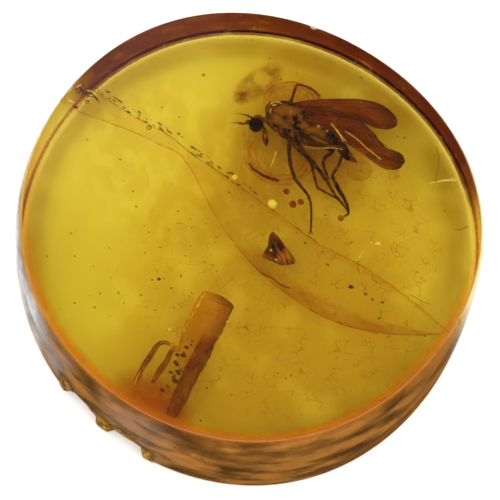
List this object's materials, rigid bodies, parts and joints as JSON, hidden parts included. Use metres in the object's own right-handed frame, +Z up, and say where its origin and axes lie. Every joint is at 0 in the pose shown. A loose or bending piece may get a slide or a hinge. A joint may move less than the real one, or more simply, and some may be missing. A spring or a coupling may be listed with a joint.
{
  "type": "insect in amber",
  "caption": "Round slab of polished clear amber with a fly, a bud scale and a plant stalk sealed inside; rests flat on its back as a specimen.",
  "frame": {"origin": "under the middle of the slab, on the surface that its flat back rests on", "axes": "+Z up out of the polished front face, +X to the right across the front face with the fly's head to the left, +Y up the front face"},
  "size_m": [0.0248, 0.0256, 0.0047],
  "materials": {
    "amber": "polished clear golden resin",
    "fly_body": "dark brown chitin, slightly glossy",
    "plant_matter": "dull brown plant tissue soaked in resin"
  },
  "bodies": {
    "root": {"amber_front": "amber", "amber_back": "amber", "fly": "fly_body", "loose_leg": "fly_body", "bud_scale": "plant_matter", "plant_stalk": "plant_matter"}
  },
  "joints": []
}
